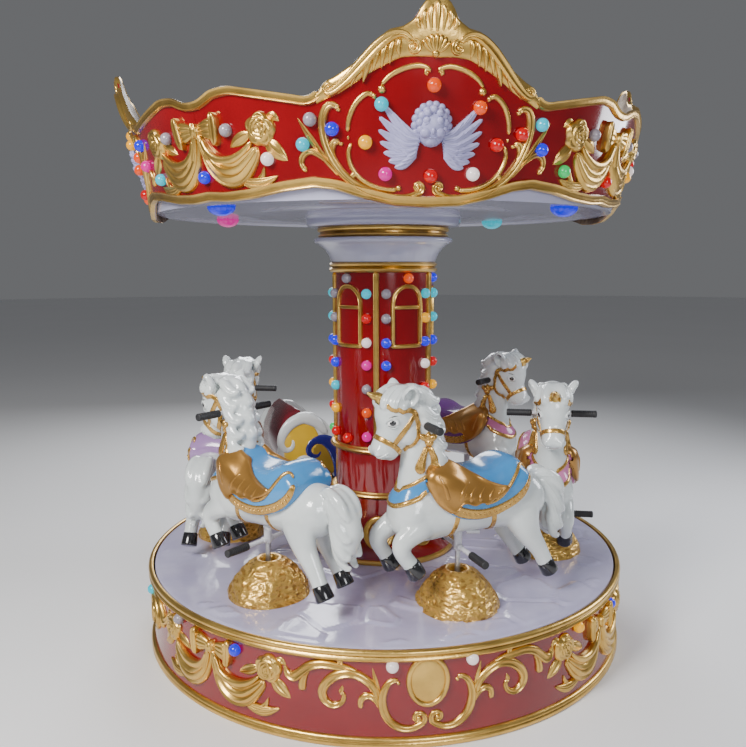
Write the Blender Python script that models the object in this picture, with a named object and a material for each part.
"""Small six-place fairground carousel: five rising unicorn horses and one chariot.

Metres, +Z up, origin on the turning axis at ground level. The main crest of
the canopy faces -Y. Angles round the axis are counted from -Y towards +X.
The skirted base stands still. The deck, column, canopy and chariot turn
together, and each horse rides up and down on its own post.
"""

import math

import bmesh
import bpy
import numpy as np
from mathutils import Matrix, Vector

# Fit between pieces
GAP = 0.0003
RING_SIDES = 56
COLUMN_SIDES = 24
CEILING_SIDES = 36
ROD_SIDES = 8
ROCK_SIDES = 14

# Base, standing still
FLOOR_Z = 0.365
RIM_RADIUS = 1.105
RIM_INNER_RADIUS = 1.085
SKIRT_RADIUS = 1.088
SKIRT_WALL = 0.015
BOTTOM_RIM_HEIGHT = 0.040
TOP_RIM_BOTTOM = 0.322
ARM_WIDTH = 0.060
ARM_HEIGHT = 0.050
ARM_COUNT = 6
SPINDLE_RADIUS = 0.050
SPINDLE_TOP = 0.340

# Deck
DECK_RADIUS = 1.0775
DECK_THICKNESS = 0.020
HUB_RADIUS = 0.130
HUB_BOTTOM = 0.290
SPINDLE_PLAY = 0.0015

# Six places round the deck
PLACE_RADIUS = 0.770
PLACE_STEP = 60.0
FIRST_PLACE = 14.0
HORSE_PLACES = {1: 0, 2: 1, 3: 2, 4: 4, 5: 5}
CHARIOT_PLACE = 3
# How far each horse stands above the middle of its stroke at rest
HORSE_LIFT = {1: 0.035, 2: -0.030, 3: 0.010, 4: -0.005, 5: 0.025}
POST_HOLE_RADIUS = 0.032

# Rock mounds: (height, radius) levels from the deck up
ROCK_HEIGHT = 0.150
ROCK_LEVELS = [(0.0, 0.168), (0.030, 0.160), (0.070, 0.138), (0.108, 0.108), (0.136, 0.076),
               (ROCK_HEIGHT, 0.054)]
ROCK_LUMP = 0.10
ROCK_LUMP_ON_TOP = 0.03

# Column levels, from the deck up
FOOT_RING_TOP = 0.388
PEDESTAL_TOP = 0.640
LOW_RING_TOP = 0.670
DRUM_TOP = 0.850
HIGH_RING_TOP = 0.880
SHAFT_TOP = 1.665
NECK_RING_TOP = 1.712
CAPITAL_TOP = 1.820
BAND_TOP = 1.868
SHAFT_RADIUS = 0.227
DRUM_RADIUS = 0.228
RING_RADIUS = 0.252
FOOT_RADIUS = 0.345
CAPITAL_RADIUS = 0.320
BAND_RADIUS = 0.296

# Canopy
CEILING_Z = 1.915
CEILING_STEP_RADIUS = 0.355
CEILING_LIP = 0.060
CEILING_PLAY = 0.0016
FASCIA_FOOT_RADIUS = 1.020
FASCIA_FOOT_Z = 1.920
FASCIA_LEAN = 0.240
FASCIA_WALL = 0.012
FASCIA_COUNT = 4
ORNAMENT_RADIUS = 1.060
CREST_THICKNESS = 0.022
CREST_STEPS = 16
CREST_HALF_ANGLE = 18.4
CREST_RISE = 0.004
CREST_GAP = 0.0015

RED = (0.42, 0.01, 0.02)
GOLD = (0.62, 0.40, 0.09)
WHITE = (0.80, 0.82, 0.80)
LILAC_WHITE = (0.66, 0.64, 0.76)
SKY_BLUE = (0.08, 0.36, 0.68)
PURPLE = (0.24, 0.08, 0.30)
PINK = (0.68, 0.28, 0.46)
BROWN = (0.35, 0.17, 0.05)
STEEL = (0.55, 0.56, 0.58)
NAVY = (0.03, 0.04, 0.22)
SADDLE_COLOURS = {1: SKY_BLUE, 2: PINK, 3: PURPLE, 4: BROWN, 5: SKY_BLUE}


def clear_scene():
    """Remove every object that the file opened with."""
    for item in list(bpy.data.objects):
        bpy.data.objects.remove(item, do_unlink=True)


def finish_material(name, colour, roughness, metallic=0.0):
    """Make one Principled finish, or return it where it exists."""
    found = bpy.data.materials.get(name)
    if found:
        return found
    made = bpy.data.materials.new(name)
    made.use_nodes = True
    shader = made.node_tree.nodes["Principled BSDF"]
    shader.inputs["Base Color"].default_value = (*colour, 1.0)
    shader.inputs["Roughness"].default_value = roughness
    shader.inputs["Metallic"].default_value = metallic
    return made


def red_gelcoat():
    return finish_material("red_gelcoat", RED, 0.20)


def gold_paint():
    return finish_material("gold_paint", GOLD, 0.35, 0.6)


def white_gelcoat():
    return finish_material("white_gelcoat", WHITE, 0.18)


def lilac_gelcoat():
    return finish_material("lilac_gelcoat", LILAC_WHITE, 0.30)


def brushed_steel():
    return finish_material("steel", STEEL, 0.35, 0.9)


def around(angle_deg, radius, height=0.0):
    """Point at an angle from -Y towards +X, a radius and a height."""
    turn = math.radians(angle_deg)
    return Vector((radius * math.sin(turn), -radius * math.cos(turn), height))


def place_angle(place):
    """Angle of one of the six places on the deck."""
    return FIRST_PLACE + PLACE_STEP * place


def place_matrix(place, height):
    """Frame of a place: local +X is the way it travels, local +Y points outwards."""
    angle = place_angle(place)
    turn = math.radians(angle)
    spot = around(angle, PLACE_RADIUS, height)
    return Matrix.Translation(spot) @ Matrix.Rotation(turn + math.pi, 4, "Z")


def add_object(name, mesh, material, matrix=None):
    """Put a mesh in the scene as a named sub-part."""
    item = bpy.data.objects.new(name, mesh)
    bpy.context.scene.collection.objects.link(item)
    if material and not mesh.materials:
        mesh.materials.append(material)
    if matrix is not None:
        item.matrix_world = matrix
    return item


def mesh_from(shape, name):
    """Close, orient and store a bmesh as a mesh with smooth round faces."""
    bmesh.ops.remove_doubles(shape, verts=shape.verts, dist=1e-5)
    bmesh.ops.recalc_face_normals(shape, faces=shape.faces)
    mesh = bpy.data.meshes.new(name)
    shape.to_mesh(mesh)
    shape.free()
    mesh.shade_smooth()
    mesh.set_sharp_from_angle(angle=math.radians(35))
    return mesh


def turned_mesh(name, outline, sides=RING_SIDES):
    """Turn a closed (radius, height) outline a full circle about the axis."""
    shape = bmesh.new()
    rings = []
    for side in range(sides):
        turn = 360.0 * side / sides
        rings.append([shape.verts.new(around(turn, r, z)) for r, z in outline])
    count = len(outline)
    for side in range(sides):
        here = rings[side]
        there = rings[(side + 1) % sides]
        for corner in range(count):
            follow = (corner + 1) % count
            if outline[corner][0] < 1e-6 and outline[follow][0] < 1e-6:
                continue
            shape.faces.new((here[corner], here[follow], there[follow], there[corner]))
    bmesh.ops.remove_doubles(shape, verts=shape.verts, dist=1e-6)
    bmesh.ops.dissolve_degenerate(shape, edges=shape.edges, dist=1e-6)
    return mesh_from(shape, name)


def turned(name, outline, material, sides=COLUMN_SIDES):
    return add_object(name, turned_mesh(name, outline, sides), material)


def skin_rings(shape, rings):
    """Join like rings of points into one closed skin with end caps."""
    loops = [[shape.verts.new(point) for point in ring] for ring in rings]
    count = len(rings[0])
    for here, there in zip(loops, loops[1:]):
        for corner in range(count):
            follow = (corner + 1) % count
            shape.faces.new((here[corner], here[follow], there[follow], there[corner]))
    shape.faces.new(list(reversed(loops[0])))
    shape.faces.new(loops[-1])


def limb_mesh(name, stations, sides):
    """Loft ellipses along a path in the horse's frame.

    Each station is (forward, side, height, half depth in the path's plane,
    half width across it).
    """
    middles = [Vector(station[:3]) for station in stations]
    rings = []
    for index, station in enumerate(stations):
        before = middles[max(index - 1, 0)]
        after = middles[min(index + 1, len(middles) - 1)]
        along = (after - before).normalized()
        across = Vector((0.0, 1.0, 0.0))
        depth_way = along.cross(across).normalized()
        across = depth_way.cross(along).normalized()
        ring = []
        for side in range(sides):
            turn = math.tau * side / sides
            step = depth_way * (math.cos(turn) * station[3])
            step += across * (math.sin(turn) * station[4])
            ring.append(middles[index] + step)
        rings.append(ring)
    shape = bmesh.new()
    skin_rings(shape, rings)
    return mesh_from(shape, name)


def rod_mesh(name, start, end, radius, sides=ROD_SIDES):
    """Closed round rod between two points."""
    start = Vector(start)
    end = Vector(end)
    along = (end - start).normalized()
    aside = along.orthogonal().normalized()
    other = along.cross(aside)
    rings = []
    for middle in (start, end):
        ring = []
        for side in range(sides):
            turn = math.tau * side / sides
            ring.append(middle + (aside * math.cos(turn) + other * math.sin(turn)) * radius)
        rings.append(ring)
    shape = bmesh.new()
    skin_rings(shape, rings)
    return mesh_from(shape, name)


def box_mesh(name, low, high):
    """Closed box between two corners."""
    shape = bmesh.new()
    bmesh.ops.create_cube(shape, size=1.0)
    for vertex in shape.verts:
        for axis in range(3):
            vertex.co[axis] = low[axis] if vertex.co[axis] < 0 else high[axis]
    return mesh_from(shape, name)


def combined(name, first, others, operation="UNION"):
    """Mesh of one closed mesh united with, or cut by, a list of others."""
    work = bpy.data.collections.new(name + "_work")
    bpy.context.scene.collection.children.link(work)
    base = bpy.data.objects.new(name + "_base", first)
    bpy.context.scene.collection.objects.link(base)
    for index, mesh in enumerate(others):
        work.objects.link(bpy.data.objects.new(f"{name}_tool_{index}", mesh))
    cut = base.modifiers.new("combine", "BOOLEAN")
    cut.operation = operation
    cut.solver = "EXACT"
    cut.operand_type = "COLLECTION"
    cut.collection = work
    bpy.context.view_layer.update()
    depsgraph = bpy.context.evaluated_depsgraph_get()
    result = bpy.data.meshes.new_from_object(base.evaluated_get(depsgraph))
    result.name = name
    result.materials.clear()
    for item in list(work.objects):
        bpy.data.objects.remove(item, do_unlink=True)
    bpy.data.objects.remove(base, do_unlink=True)
    bpy.data.collections.remove(work)
    shape = bmesh.new()
    shape.from_mesh(result)
    bmesh.ops.remove_doubles(shape, verts=shape.verts, dist=2e-5)
    bmesh.ops.dissolve_degenerate(shape, edges=shape.edges, dist=2e-5)
    shape.to_mesh(result)
    shape.free()
    result.shade_smooth()
    result.set_sharp_from_angle(angle=math.radians(50))
    return result


# Raised ornament. It is drawn flat, in millimetres along the wall and up from
# the ground, as strokes with (along, up, half width) stations. A stroke rises
# from the wall by a share of its half width.

ORNAMENT_SINK = 0.004
STROKE_TOP_SHARE = 0.62
ROSE_SIDES = 8
OVAL_SIDES = 10
BASE_KNOT_HEIGHT = 268
CANOPY_KNOT_HEIGHT = 2157
HALF_GARLAND = [
    (0.50, [(4, 0, 14), (94, 0, 50)]),
    (0.55, [(18, -26, 12), (46, -98, 32), (108, -146, 46), (180, -136, 40), (244, -80, 18)]),
    (0.50, [(170, -180, 12), (300, -180, 14)]),
    (0.60, [(226, -22, 9), (184, -40, 20), (142, -58, 5)]),
    (0.60, [(288, -46, 9), (326, -90, 23), (354, -114, 6)]),
]
GARLAND_ROSE = (272, -15, 57, 57, 0.028)
BASE_OVAL = (0, 234, 76, 82, 0.012)
BASE_SCROLL = [
    (0.80, [(32, 130, 8), (17, 104, 10), (38, 76, 12), (90, 72, 13), (136, 98, 15), (163, 170, 16),
            (150, 232, 13), (108, 250, 9)]),
    (0.80, [(176, 190, 13), (214, 250, 16), (290, 276, 18), (354, 244, 18), (374, 196, 16),
            (338, 154, 13), (300, 184, 8)]),
    (0.80, [(232, 284, 8), (300, 306, 11), (378, 304, 14), (440, 280, 18), (484, 243, 20)]),
    (0.80, [(186, 206, 8), (197, 298, 3)]),
    (0.80, [(436, 252, 10), (451, 194, 15)]),
]
CANOPY_SCROLL = [
    (0.90, [(76, 1920, 12), (150, 1924, 14), (256, 1966, 15), (320, 2046, 14), (345, 2126, 14),
            (326, 2194, 12), (292, 2190, 8)]),
    (0.80, [(300, 1990, 8), (372, 2080, 10), (426, 2166, 3)]),
    (0.13, [(36, 2078, 26), (90, 2082, 46), (150, 2094, 58)]),
]
CANOPY_HEAD = (0, 2130, 50, 58, 0.036)


def placer(middle, wall, drawn_radius, sign=1, shift=0):
    """Function that puts a point of a flat drawing on a curved wall."""
    def place(along, up, out):
        angle = middle + math.degrees(sign * along / 1000.0 / drawn_radius)
        height = (up + shift) / 1000.0
        return around(angle, wall(height) + out, height)

    return place


def stroke_mesh(stations, share, place):
    """Raised strip with sloping sides, with its underside sunk in the wall."""
    middles = [Vector((along, up)) for along, up, half in stations]
    rings = []
    for index, (along, up, half) in enumerate(stations):
        ahead = middles[min(index + 1, len(middles) - 1)] - middles[max(index - 1, 0)]
        aside = Vector((-ahead.y, ahead.x)).normalized()
        rise = share * half / 1000.0
        ring = []
        for across, out in ((-1.0, -ORNAMENT_SINK), (-STROKE_TOP_SHARE, rise),
                            (STROKE_TOP_SHARE, rise), (1.0, -ORNAMENT_SINK)):
            spot = middles[index] + aside * (half * across)
            ring.append(place(spot.x, spot.y, out))
        rings.append(ring)
    shape = bmesh.new()
    skin_rings(shape, rings)
    return mesh_from(shape, "stroke")


def dome_mesh(along, up, wide, tall, rise, sides, place):
    """Low oval dome with its underside sunk in the wall."""
    rings = []
    for share, out in ((1.0, -ORNAMENT_SINK), (0.92, rise * 0.5), (0.55, rise)):
        ring = []
        for side in range(sides):
            turn = math.tau * side / sides
            ring.append(place(along + wide * share * math.cos(turn), up + tall * share * math.sin(turn), out))
        rings.append(ring)
    shape = bmesh.new()
    skin_rings(shape, rings)
    return mesh_from(shape, "dome")


def garland_meshes(place):
    """One half of a bow with its swag, leaves and rose."""
    meshes = [stroke_mesh(stations, share, place) for share, stations in HALF_GARLAND]
    meshes.append(dome_mesh(*GARLAND_ROSE, ROSE_SIDES, place))
    return meshes


# Base

def skirt_wall(height):
    """Outer radius of the skirt at any height."""
    return SKIRT_RADIUS


def skirt_ornament():
    """Four scrolled ovals and four garlands round the skirt."""
    meshes = []
    for quarter in range(FASCIA_COUNT):
        middle = 360.0 * quarter / FASCIA_COUNT
        meshes.append(dome_mesh(*BASE_OVAL, OVAL_SIDES, placer(middle, skirt_wall, SKIRT_RADIUS)))
        for sign in (1, -1):
            scroll_place = placer(middle, skirt_wall, SKIRT_RADIUS, sign)
            meshes += [stroke_mesh(stations, share, scroll_place) for share, stations in BASE_SCROLL]
            meshes += garland_meshes(
                placer(middle + FASCIA_HALF, skirt_wall, SKIRT_RADIUS, sign, BASE_KNOT_HEIGHT))
    return meshes


def build_base():
    """Skirt, its two gold rims, and the frame with the spindle inside."""
    inner = SKIRT_RADIUS - SKIRT_WALL
    skirt_outline = [
        (SKIRT_RADIUS, TOP_RIM_BOTTOM - GAP),
        (SKIRT_RADIUS, BOTTOM_RIM_HEIGHT + GAP),
        (inner, BOTTOM_RIM_HEIGHT + GAP),
        (inner, TOP_RIM_BOTTOM - GAP),
    ]
    skirt = turned_mesh("skirt_wall", skirt_outline, RING_SIDES)
    add_object("base_skirt", combined("base_skirt", skirt, skirt_ornament()), red_gelcoat())
    bottom_outline = [
        (SKIRT_RADIUS + 0.006, BOTTOM_RIM_HEIGHT),
        (RIM_RADIUS - 0.001, BOTTOM_RIM_HEIGHT - 0.008),
        (RIM_RADIUS, 0.008),
        (RIM_RADIUS - 0.006, 0.0),
        (inner, 0.0),
        (inner, BOTTOM_RIM_HEIGHT),
    ]
    turned("base_bottom_rim", bottom_outline, gold_paint(), RING_SIDES)
    top_outline = [
        (RIM_INNER_RADIUS, FLOOR_Z + 0.004),
        (RIM_RADIUS - 0.006, FLOOR_Z + 0.004),
        (RIM_RADIUS, FLOOR_Z - 0.006),
        (RIM_RADIUS - 0.006, TOP_RIM_BOTTOM + 0.022),
        (RIM_RADIUS, TOP_RIM_BOTTOM + 0.008),
        (RIM_RADIUS - 0.006, TOP_RIM_BOTTOM),
        (inner, TOP_RIM_BOTTOM),
        (RIM_INNER_RADIUS, TOP_RIM_BOTTOM + 0.016),
    ]
    turned("base_top_rim", top_outline, gold_paint(), RING_SIDES)

    spindle = rod_mesh("spindle", (0, 0, 0), (0, 0, SPINDLE_TOP), SPINDLE_RADIUS, 20)
    arms = []
    for arm in range(ARM_COUNT // 2):
        reach = inner - 0.004
        beam = box_mesh("arm", (-reach, -ARM_WIDTH / 2, 0.0), (reach, ARM_WIDTH / 2, ARM_HEIGHT))
        beam.transform(Matrix.Rotation(math.radians(180.0 * arm / (ARM_COUNT // 2)), 4, "Z"))
        arms.append(beam)
    frame = combined("base_frame", spindle, arms)
    add_object("base_frame", frame, brushed_steel())


# Deck and rocks

def build_deck():
    """Round floor with its hub and a hole for each horse's post."""
    under = FLOOR_Z - DECK_THICKNESS
    socket = SPINDLE_RADIUS + SPINDLE_PLAY
    outline = [
        (0.0, FLOOR_Z),
        (DECK_RADIUS, FLOOR_Z),
        (DECK_RADIUS, under),
        (HUB_RADIUS, under),
        (HUB_RADIUS, HUB_BOTTOM),
        (socket, HUB_BOTTOM),
        (socket, SPINDLE_TOP + 0.0005),
        (0.0, SPINDLE_TOP + 0.0005),
    ]
    disc = turned_mesh("deck_disc", outline)
    holes = []
    for place in HORSE_PLACES.values():
        low = around(place_angle(place), PLACE_RADIUS, under - 0.02)
        high = around(place_angle(place), PLACE_RADIUS, FLOOR_Z + 0.02)
        holes.append(rod_mesh("hole", low, high, POST_HOLE_RADIUS, 12))
    add_object("deck", combined("deck", disc, holes, "DIFFERENCE"), lilac_gelcoat())


def rock_mesh(seed):
    """Lumpy rock mound with a round hole down its middle."""
    sides = ROCK_SIDES
    draw = np.random.default_rng(seed)
    rings = []
    for height, radius in ROCK_LEVELS:
        unevenness = ROCK_LUMP if height < ROCK_HEIGHT else ROCK_LUMP_ON_TOP
        ring = []
        for side in range(sides):
            lump = 1.0 + (draw.random() - 0.5) * unevenness
            ring.append(around(360.0 * side / sides, radius * lump, height))
        rings.append(ring)
    for height in (ROCK_HEIGHT, 0.0):
        rings.append([around(360.0 * side / sides, POST_HOLE_RADIUS, height) for side in range(sides)])
    shape = bmesh.new()
    loops = [[shape.verts.new(point) for point in ring] for ring in rings]
    for here, there in zip(loops, loops[1:] + loops[:1]):
        for side in range(sides):
            follow = (side + 1) % sides
            shape.faces.new((here[side], here[follow], there[follow], there[side]))
    return mesh_from(shape, "rock")


def build_rocks():
    gold_rock = finish_material("gold_rock", (0.45, 0.28, 0.06), 0.55, 0.4)
    for horse, place in HORSE_PLACES.items():
        spot = place_matrix(place, FLOOR_Z + GAP)
        add_object(f"rock_mound_{horse}", rock_mesh(40 + horse), gold_rock, spot)


# Column

def build_column():
    """Stacked turned pieces from the deck to the ceiling."""
    foot = FLOOR_Z + GAP
    turned("column_foot_ring", [
        (0.0, FOOT_RING_TOP), (FOOT_RADIUS - 0.010, FOOT_RING_TOP), (FOOT_RADIUS, FOOT_RING_TOP - 0.010),
        (FOOT_RADIUS, foot + 0.004), (FOOT_RADIUS - 0.004, foot), (0.0, foot)], gold_paint())
    turned("column_pedestal", [
        (0.0, PEDESTAL_TOP), (0.236, PEDESTAL_TOP), (0.238, 0.580), (0.250, 0.510),
        (0.278, 0.440), (0.312, 0.405), (0.330, FOOT_RING_TOP + GAP),
        (0.0, FOOT_RING_TOP + GAP)], red_gelcoat())
    bead(name="column_low_ring", low=PEDESTAL_TOP + GAP, high=LOW_RING_TOP)
    turned("column_drum", [
        (0.0, DRUM_TOP), (DRUM_RADIUS, DRUM_TOP), (DRUM_RADIUS, LOW_RING_TOP + GAP),
        (0.0, LOW_RING_TOP + GAP)], red_gelcoat())
    bead(name="column_high_ring", low=DRUM_TOP + GAP, high=HIGH_RING_TOP)
    turned("column_shaft", [
        (0.0, SHAFT_TOP), (SHAFT_RADIUS, SHAFT_TOP), (SHAFT_RADIUS, HIGH_RING_TOP + GAP),
        (0.0, HIGH_RING_TOP + GAP)], red_gelcoat())
    low = SHAFT_TOP + GAP
    turned("column_neck_ring", [
        (0.0, NECK_RING_TOP), (0.240, NECK_RING_TOP), (0.250, NECK_RING_TOP - 0.010),
        (0.240, NECK_RING_TOP - 0.022), (0.252, low + 0.012), (0.240, low), (0.0, low)], gold_paint())
    low = NECK_RING_TOP + GAP
    turned("column_capital", [
        (0.0, CAPITAL_TOP), (CAPITAL_RADIUS - 0.008, CAPITAL_TOP), (CAPITAL_RADIUS, CAPITAL_TOP - 0.012),
        (0.300, CAPITAL_TOP - 0.026), (0.262, CAPITAL_TOP - 0.058), (0.244, low + 0.020),
        (0.240, low), (0.0, low)], white_gelcoat())
    low = CAPITAL_TOP + GAP
    turned("capital_band", [
        (0.0, BAND_TOP), (BAND_RADIUS, BAND_TOP), (BAND_RADIUS + 0.008, BAND_TOP - 0.012),
        (BAND_RADIUS - 0.004, low + 0.022), (BAND_RADIUS + 0.004, low + 0.010),
        (BAND_RADIUS - 0.006, low), (0.0, low)], gold_paint())


def bead(name, low, high):
    """Round gold ring between two levels of the column."""
    middle = (low + high) / 2
    turned(name, [
        (0.0, high), (RING_RADIUS - 0.016, high), (RING_RADIUS - 0.003, high - 0.007),
        (RING_RADIUS, middle), (RING_RADIUS - 0.003, low + 0.007),
        (RING_RADIUS - 0.016, low), (0.0, low)], gold_paint())


# Canopy

def fascia_radius(height):
    """Outer radius of the leaning fascia at a height."""
    return FASCIA_FOOT_RADIUS + (height - FASCIA_FOOT_Z) * FASCIA_LEAN


def along_outline(points, value):
    """Height of a smooth outline, read at an angle from its middle."""
    angles = [point[0] for point in points]
    heights = [point[1] for point in points]
    return float(np.interp(abs(value), angles, heights))


FASCIA_TOP = [(0.0, 2.500), (2.2, 2.492), (3.4, 2.440), (5.2, 2.418), (7.4, 2.412), (10.0, 2.372),
              (13.0, 2.318), (16.0, 2.284), (18.6, 2.262), (20.0, 2.222), (25.0, 2.240),
              (31.0, 2.262), (38.0, 2.282), (42.0, 2.268), (45.0, 2.246)]
FASCIA_BOTTOM = [(0.0, 1.889), (6.0, 1.894), (12.0, 1.918), (17.0, 1.946), (21.0, 1.955),
                 (27.0, 1.945), (34.0, 1.926), (40.0, 1.920), (45.0, 1.926)]
FASCIA_COLUMNS = [0.0, 2.2, 3.4, 5.2, 7.5, 10.0, 13.0, 16.0, 18.75, 20.0, 22.5, 26.25,
                  30.0, 33.75, 37.5, 41.25]
FASCIA_HALF = 45.0
FASCIA_ROWS = 2
CREST_INNER_HALF_ANGLE = 15.1
CREST_INNER_HALF_HEIGHT = 0.212
CREST_CENTRE_Z = 2.120
CREST_FOOT_Z = 2.215


def build_ceiling():
    """Round ceiling with the stepped ring over the column and an upturned edge."""
    lip_low = CEILING_Z
    lip_high = CEILING_Z + CEILING_LIP
    edge = FASCIA_WALL + CEILING_PLAY
    outline = [
        (0.0, 1.985),
        (0.40, 1.970),
        (0.965, 1.945),
        (0.988, lip_high),
        (fascia_radius(lip_high) - edge, lip_high),
        (fascia_radius(lip_low) - edge, lip_low),
        (0.960, lip_low),
        (0.900, lip_low + 0.014),
        (0.620, lip_low + 0.010),
        (0.600, lip_low + 0.002),
        (0.400, lip_low),
        (CEILING_STEP_RADIUS, lip_low - 0.008),
        (CEILING_STEP_RADIUS, BAND_TOP + 0.012),
        (CEILING_STEP_RADIUS - 0.012, BAND_TOP + GAP),
        (0.0, BAND_TOP + GAP),
    ]
    turned("ceiling", outline, lilac_gelcoat(), CEILING_SIDES)


def fascia_mesh():
    """One curved, leaning quarter of the fascia with its crest outline."""
    side_gap = math.degrees(GAP / FASCIA_FOOT_RADIUS)
    half = FASCIA_COLUMNS + [FASCIA_HALF - side_gap]
    columns = [-angle for angle in reversed(half[1:])] + half
    shape = bmesh.new()
    grid = []
    for angle in columns:
        low = along_outline(FASCIA_BOTTOM, angle)
        high = along_outline(FASCIA_TOP, angle)
        outer = []
        inner = []
        for row in range(FASCIA_ROWS + 1):
            height = low + (high - low) * row / FASCIA_ROWS
            outer.append(shape.verts.new(around(angle, fascia_radius(height), height)))
            inner.append(shape.verts.new(around(angle, fascia_radius(height) - FASCIA_WALL, height)))
        grid.append(outer + inner[::-1])
    for here, there in zip(grid, grid[1:]):
        for corner in range(len(here)):
            follow = (corner + 1) % len(here)
            shape.faces.new((here[corner], here[follow], there[follow], there[corner]))
    rows = FASCIA_ROWS + 1
    for end in (grid[0], grid[-1]):
        for row in range(FASCIA_ROWS):
            shape.faces.new((end[row], end[row + 1], end[2 * rows - 2 - row], end[2 * rows - 1 - row]))
    return mesh_from(shape, "fascia")


def crest_mesh():
    """Thick gold arch over the oval panel, lying on the fascia."""
    shape = bmesh.new()
    sections = []
    for step in range(CREST_STEPS + 1):
        angle = CREST_HALF_ANGLE * (2 * step / CREST_STEPS - 1)
        share = min(abs(angle) / CREST_INNER_HALF_ANGLE, 1.0)
        arch = CREST_CENTRE_Z + CREST_INNER_HALF_HEIGHT * math.sqrt(1.0 - share * share)
        low = max(arch, CREST_FOOT_Z)
        high = along_outline(FASCIA_TOP, angle) + CREST_RISE
        back_low = around(angle, fascia_radius(low) + CREST_GAP, low)
        back_high = around(angle, fascia_radius(high) + CREST_GAP, high)
        front_high = around(angle, fascia_radius(high) + CREST_GAP + CREST_THICKNESS, high)
        front_low = around(angle, fascia_radius(low) + CREST_GAP + CREST_THICKNESS, low)
        sections.append([back_low, back_high, front_high, front_low])
    skin_rings(shape, sections)
    return mesh_from(shape, "crest")


def fascia_ornament():
    """Scrolled frame, winged head and two half garlands of one quarter."""
    meshes = [dome_mesh(*CANOPY_HEAD, OVAL_SIDES, placer(0.0, fascia_radius, ORNAMENT_RADIUS))]
    for sign in (1, -1):
        scroll_place = placer(0.0, fascia_radius, ORNAMENT_RADIUS, sign)
        meshes += [stroke_mesh(stations, share, scroll_place) for share, stations in CANOPY_SCROLL]
        meshes += garland_meshes(
            placer(-sign * FASCIA_HALF, fascia_radius, ORNAMENT_RADIUS, sign, CANOPY_KNOT_HEIGHT))
    return meshes


def build_fascia():
    """Four like fascia quarters, each with its gold crest."""
    panel = combined("fascia", fascia_mesh(), fascia_ornament())
    crest = crest_mesh()
    for quarter in range(FASCIA_COUNT):
        turn = Matrix.Rotation(math.radians(360.0 * quarter / FASCIA_COUNT), 4, "Z")
        add_object(f"fascia_panel_{quarter + 1}", panel, red_gelcoat(), turn)
        add_object(f"crest_{quarter + 1}", crest, gold_paint(), turn)


# Horses. Local frame: +X forward, +Y to the outer side, heights from the deck
# with the horse at the middle of its stroke.

BARREL = [(0.272, 0.0, 0.425, 0.040, 0.040), (0.250, 0.0, 0.410, 0.085, 0.072),
          (0.205, 0.0, 0.385, 0.125, 0.095), (0.140, 0.0, 0.370, 0.122, 0.108),
          (0.050, 0.0, 0.364, 0.100, 0.108), (-0.060, 0.0, 0.358, 0.088, 0.104),
          (-0.160, 0.0, 0.362, 0.096, 0.106), (-0.250, 0.0, 0.376, 0.108, 0.108),
          (-0.325, 0.0, 0.388, 0.088, 0.092), (-0.360, 0.0, 0.396, 0.056, 0.062)]
NECK = [(0.130, 0.0, 0.400, 0.120, 0.088), (0.148, 0.0, 0.500, 0.102, 0.078),
        (0.151, 0.0, 0.600, 0.084, 0.060), (0.176, 0.0, 0.720, 0.078, 0.053),
        (0.222, 0.0, 0.836, 0.050, 0.036)]
HEAD = [(0.236, 0.0, 0.838, 0.042, 0.034), (0.250, 0.0, 0.795, 0.082, 0.056),
        (0.262, 0.0, 0.730, 0.092, 0.062), (0.274, 0.0, 0.672, 0.084, 0.054),
        (0.302, 0.0, 0.628, 0.062, 0.042), (0.322, 0.0, 0.598, 0.048, 0.040),
        (0.330, 0.0, 0.578, 0.026, 0.024)]
MANE = [(0.226, 0.0, 0.852, 0.020, 0.026), (0.150, 0.0, 0.842, 0.042, 0.034),
        (0.096, 0.0, 0.772, 0.046, 0.034), (0.068, 0.0, 0.680, 0.042, 0.032),
        (0.062, 0.0, 0.590, 0.036, 0.030), (0.076, 0.0, 0.530, 0.018, 0.018)]
TAIL = [(-0.310, 0.0, 0.440, 0.030, 0.030), (-0.372, 0.0, 0.436, 0.040, 0.036),
        (-0.424, 0.0, 0.390, 0.048, 0.044), (-0.438, 0.0, 0.320, 0.050, 0.048),
        (-0.436, 0.0, 0.260, 0.038, 0.036), (-0.424, 0.0, 0.220, 0.014, 0.014)]
HORN = [(0.290, 0.0, 0.806, 0.018, 0.018), (0.384, 0.0, 0.842, 0.004, 0.004)]
EAR = [(0.226, 0.042, 0.800, 0.016, 0.010), (0.230, 0.050, 0.836, 0.017, 0.008),
       (0.238, 0.056, 0.866, 0.004, 0.004)]
FORE_LEG_INNER = [(0.170, -0.066, 0.350, 0.062, 0.040), (0.246, -0.072, 0.316, 0.046, 0.036),
                (0.304, -0.072, 0.278, 0.034, 0.028), (0.298, -0.072, 0.222, 0.025, 0.022),
                (0.270, -0.072, 0.176, 0.026, 0.024), (0.250, -0.072, 0.138, 0.030, 0.028)]
FORE_LEG_OUTER = [(0.160, 0.062, 0.340, 0.062, 0.040), (0.218, 0.070, 0.314, 0.046, 0.036),
                 (0.268, 0.070, 0.282, 0.034, 0.028), (0.262, 0.070, 0.226, 0.025, 0.022),
                 (0.232, 0.070, 0.186, 0.026, 0.024), (0.208, 0.070, 0.148, 0.030, 0.028)]
HIND_LEG_OUTER = [(-0.236, 0.064, 0.360, 0.088, 0.048), (-0.258, 0.072, 0.290, 0.064, 0.042),
                 (-0.284, 0.074, 0.230, 0.042, 0.032), (-0.324, 0.074, 0.178, 0.030, 0.026),
                 (-0.350, 0.074, 0.130, 0.026, 0.024), (-0.378, 0.074, 0.078, 0.032, 0.030)]
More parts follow.
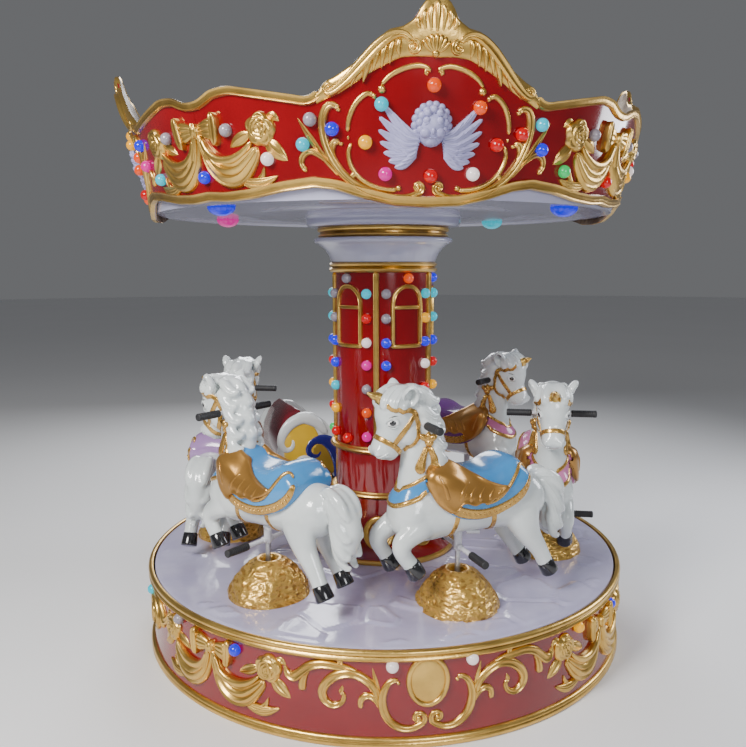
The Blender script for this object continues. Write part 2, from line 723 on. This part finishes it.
HIND_LEG_INNER = [(-0.226, -0.064, 0.350, 0.084, 0.048), (-0.244, -0.072, 0.280, 0.062, 0.042),
                (-0.252, -0.074, 0.220, 0.042, 0.032), (-0.290, -0.074, 0.168, 0.030, 0.026),
                (-0.320, -0.074, 0.124, 0.026, 0.024), (-0.350, -0.074, 0.080, 0.032, 0.030)]

# Saddle sections: forward, bottom edge, top line, half width low and high
SADDLE = [(0.160, 0.480, 0.566, 0.100, 0.050), (0.118, 0.420, 0.568, 0.124, 0.060),
          (0.050, 0.356, 0.530, 0.128, 0.074), (-0.030, 0.344, 0.500, 0.126, 0.086),
          (-0.094, 0.352, 0.508, 0.124, 0.092), (-0.160, 0.374, 0.546, 0.124, 0.090),
          (-0.210, 0.400, 0.556, 0.124, 0.084), (-0.252, 0.446, 0.520, 0.106, 0.062)]

SADDLE_CLEARANCE = 0.0025
POST_SLEEVE_RADIUS = 0.0165
POST_SHAFT_RADIUS = 0.011
POST_TOP = 0.400
SLEEVE_BOTTOM = 0.190
POST_BOTTOM = -0.235
FOOTREST_HEIGHT = 0.205
FOOTREST_REACH = 0.215
GRIP_LENGTH = 0.105
GRIP_CAP = 0.004
BORE_PLAY = 0.0008
HANDLE_FORWARD = 0.178
HANDLE_HEIGHT = 0.716
HANDLE_REACH = 0.190
ROD_RADIUS = 0.009
RUBBER_RADIUS = 0.0155


def grown(stations, extra):
    """Stations of a limb made wider, deeper and longer by a small allowance."""
    middles = [Vector(station[:3]) for station in stations]
    middles[0] += (middles[0] - middles[1]).normalized() * extra
    middles[-1] += (middles[-1] - middles[-2]).normalized() * extra
    return [(*middle, station[3] + extra, station[4] + extra) for middle, station in zip(middles, stations)]


def horse_limbs(extra=0.0):
    """All solids of a horse, optionally a little larger for cutting others."""
    ears = [EAR, [(x, -y, z, depth, width) for x, y, z, depth, width in EAR]]
    meshes = [limb_mesh("barrel", grown(BARREL, extra), 10)]
    for stations in (NECK, HEAD):
        meshes.append(limb_mesh("front", grown(stations, extra), 8))
    for stations in (MANE, TAIL):
        meshes.append(limb_mesh("hair", grown(stations, extra), 6))
    for stations in (FORE_LEG_INNER, FORE_LEG_OUTER, HIND_LEG_OUTER, HIND_LEG_INNER):
        meshes.append(limb_mesh("leg", grown(stations, extra), 6))
    for stations in (HORN, *ears):
        meshes.append(limb_mesh("tip", grown(stations, extra), 5))
    return meshes


def horse_meshes():
    """Meshes shared by all horses: body, saddle, post and handle."""
    limbs = horse_limbs()
    body = combined("horse_union", limbs[0], limbs[1:])
    post_bore = rod_mesh("bore", (0, 0, 0.10), (0, 0, POST_TOP + 0.002), POST_SLEEVE_RADIUS + BORE_PLAY)
    handle_low = (HANDLE_FORWARD, -HANDLE_REACH, HANDLE_HEIGHT)
    handle_high = (HANDLE_FORWARD, HANDLE_REACH, HANDLE_HEIGHT)
    handle_bore = rod_mesh("bore", handle_low, handle_high, ROD_RADIUS + BORE_PLAY)
    body = combined("horse_body", body, [post_bore, handle_bore], "DIFFERENCE")

    rings = []
    for forward, low, high, wide, narrow in SADDLE:
        middle = (low + high) / 2
        half = [(wide, low), (wide + 0.002, middle), (narrow + 0.018, high - 0.022), (narrow, high - 0.004)]
        ring = [Vector((forward, y, z)) for y, z in half]
        ring += [Vector((forward, -y, z)) for y, z in reversed(half)]
        rings.append(ring)
    shape = bmesh.new()
    skin_rings(shape, rings)
    saddle_block = mesh_from(shape, "saddle_block")
    saddle = combined("horse_saddle", saddle_block, horse_limbs(SADDLE_CLEARANCE), "DIFFERENCE")

    sleeve = rod_mesh("sleeve", (0, 0, SLEEVE_BOTTOM), (0, 0, POST_TOP), POST_SLEEVE_RADIUS)
    shaft = rod_mesh("shaft", (0, 0, POST_BOTTOM), (0, 0, SLEEVE_BOTTOM + 0.02), POST_SHAFT_RADIUS)
    bar_ends = [(0, side * FOOTREST_REACH, FOOTREST_HEIGHT) for side in (-1, 1)]
    pieces = [shaft, rod_mesh("bar", *bar_ends, ROD_RADIUS)]
    for side in (-1, 1):
        tip = (0, side * (FOOTREST_REACH + GRIP_CAP), FOOTREST_HEIGHT)
        root = (0, side * (FOOTREST_REACH - GRIP_LENGTH), FOOTREST_HEIGHT)
        pieces.append(rod_mesh("rubber", root, tip, RUBBER_RADIUS))
    post = combined("horse_post", sleeve, pieces)

    handle_ends = [(HANDLE_FORWARD, side * HANDLE_REACH, HANDLE_HEIGHT) for side in (-1, 1)]
    pieces = []
    for side in (-1, 1):
        tip = (HANDLE_FORWARD, side * (HANDLE_REACH + GRIP_CAP), HANDLE_HEIGHT)
        root = (HANDLE_FORWARD, side * (HANDLE_REACH - GRIP_LENGTH), HANDLE_HEIGHT)
        pieces.append(rod_mesh("rubber", root, tip, RUBBER_RADIUS))
    handle = combined("horse_handle", rod_mesh("rod", *handle_ends, ROD_RADIUS), pieces)
    return body, saddle, post, handle


def build_horses():
    """Five like horses, each at its own place and height."""
    body, saddle, post, handle = horse_meshes()
    body.materials.append(white_gelcoat())
    post.materials.append(brushed_steel())
    handle.materials.append(finish_material("black_rubber", (0.01, 0.01, 0.012), 0.6))
    for horse, place in HORSE_PLACES.items():
        spot = place_matrix(place, FLOOR_Z + HORSE_LIFT[horse])
        carrier = bpy.data.objects.new(f"horse_{horse}_origin", None)
        bpy.context.scene.collection.objects.link(carrier)
        carrier.matrix_world = spot
        leather = finish_material("saddle_" + str(horse), SADDLE_COLOURS[horse], 0.25)
        own_saddle = saddle.copy()
        own_saddle.materials.append(leather)
        for part, mesh in (("body", body), ("saddle", own_saddle), ("post", post), ("handle", handle)):
            item = add_object(f"horse_{horse}_{part}", mesh, None)
            item.parent = carrier


# Chariot, in the frame of its place

CHARIOT_SIDE = [(-0.330, 0.0), (-0.385, 0.160), (-0.375, 0.360), (-0.330, 0.480), (-0.260, 0.550),
                (-0.180, 0.545), (-0.110, 0.490), (-0.050, 0.420), (0.030, 0.365), (0.130, 0.320),
                (0.220, 0.300), (0.270, 0.340), (0.330, 0.370), (0.375, 0.340), (0.380, 0.270),
                (0.350, 0.140), (0.290, 0.0)]
CHARIOT_CROSS_PIECES = {
    "chariot_floor": [(-0.310, 0.0), (-0.345, 0.060), (0.315, 0.060), (0.285, 0.0)],
    "chariot_seat": [(-0.315, 0.0605), (-0.330, 0.235), (-0.300, 0.262), (-0.060, 0.250),
                     (-0.035, 0.225), (-0.060, 0.0605)],
    "chariot_back": [(-0.334, 0.2635), (-0.366, 0.360), (-0.330, 0.500), (-0.262, 0.566),
                     (-0.240, 0.552), (-0.292, 0.470), (-0.312, 0.360), (-0.300, 0.2635)],
    "chariot_dash": [(0.290, 0.0605), (0.318, 0.0605), (0.356, 0.200), (0.362, 0.320),
                     (0.330, 0.356), (0.300, 0.340), (0.326, 0.300), (0.322, 0.200)],
}
CHARIOT_SIDE_THICKNESS = 0.026
CHARIOT_HALF_WIDTH = 0.215
CHARIOT_CLEARANCE = 0.0005


def plate_mesh(name, outline, low_y, high_y):
    """Flat plate with an outline in the forward and up directions."""
    shape = bmesh.new()
    loops = []
    for side in (low_y, high_y):
        loops.append([shape.verts.new((forward, side, height)) for forward, height in outline])
    count = len(outline)
    for corner in range(count):
        follow = (corner + 1) % count
        shape.faces.new((loops[0][corner], loops[0][follow], loops[1][follow], loops[1][corner]))
    shape.faces.new(loops[0][::-1])
    shape.faces.new(loops[1])
    return mesh_from(shape, name)


def build_chariot():
    """Two-seat chariot: two scrolled sides, back, seat, floor and dash."""
    spot = place_matrix(CHARIOT_PLACE, FLOOR_Z + GAP)
    panel_red = finish_material("chariot_red", (0.20, 0.01, 0.02), 0.30)
    navy = finish_material("chariot_navy", NAVY, 0.20)
    inner = CHARIOT_HALF_WIDTH - CHARIOT_SIDE_THICKNESS
    for name, low, high in (("chariot_side_inner", -CHARIOT_HALF_WIDTH, -inner),
                            ("chariot_side_outer", inner, CHARIOT_HALF_WIDTH)):
        add_object(name, plate_mesh(name, CHARIOT_SIDE, low, high), navy, spot)
    half = inner - CHARIOT_CLEARANCE
    for name, outline in CHARIOT_CROSS_PIECES.items():
        add_object(name, plate_mesh(name, outline, -half, half), panel_red, spot)


def build_carousel():
    clear_scene()
    build_base()
    build_deck()
    build_rocks()
    build_column()
    build_ceiling()
    build_fascia()
    build_horses()
    build_chariot()


build_carousel()
